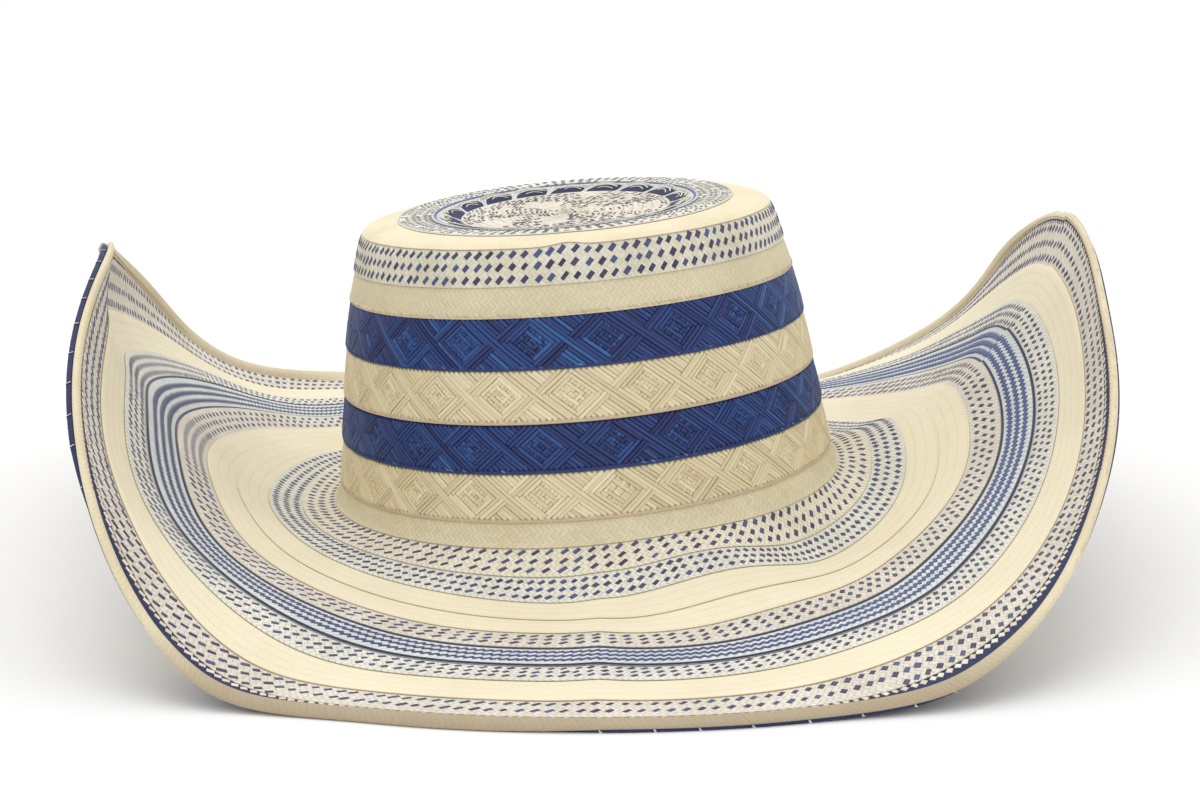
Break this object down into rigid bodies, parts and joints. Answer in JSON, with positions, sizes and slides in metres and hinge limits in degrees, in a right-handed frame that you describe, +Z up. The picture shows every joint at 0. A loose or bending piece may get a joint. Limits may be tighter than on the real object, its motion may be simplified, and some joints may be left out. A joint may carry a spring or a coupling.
{
  "type": "vueltiao hat",
  "caption": "Wide-brimmed hat of plaited cane-leaf strips sewn in a spiral, with a tapered flat-topped crown, banded in blue and cream, and a brim curled up at both sides.",
  "frame": {"origin": "on the surface the hat rests on, at the middle of the area it covers", "axes": "+Z up, -Y to the front of the hat, +X to the side of the brim that stands higher"},
  "size_m": [0.3388, 0.434, 0.1137],
  "materials": {
    "cream_straw": "dry plaited straw, slightly satin",
    "checked_straw": "cream plaited straw with dark blue checks",
    "blue_straw": "dyed blue plaited straw, slightly satin",
    "pale_blue_straw": "cream plaited straw with rows of light and dark blue"
  },
  "bodies": {
    "root": {"crown_star": "cream_straw", "crown_petal_ring": "blue_straw", "crown_speckle_ring": "checked_straw", "crown_top_ring": "cream_straw", "crown_shoulder_check_strip": "checked_straw", "crown_plain_strip": "cream_straw", "crown_blue_band_upper": "blue_straw", "crown_cream_band_upper": "cream_straw", "crown_blue_band_lower": "blue_straw", "crown_cream_band_lower": "cream_straw", "crown_foot_strip": "cream_straw", "brim_check_strip_1": "checked_straw", "brim_check_strip_2": "checked_straw", "brim_cream_strip_1": "cream_straw", "brim_cream_strip_2": "cream_straw", "brim_check_strip_3": "checked_straw", "brim_blue_strip": "pale_blue_straw", "brim_check_strip_4": "checked_straw", "brim_cream_strip_3": "cream_straw", "brim_check_strip_5": "checked_straw", "brim_edge_strip": "blue_straw", "rim_binding": "cream_straw", "rim_underside_strip": "blue_straw"}
  },
  "joints": []
}
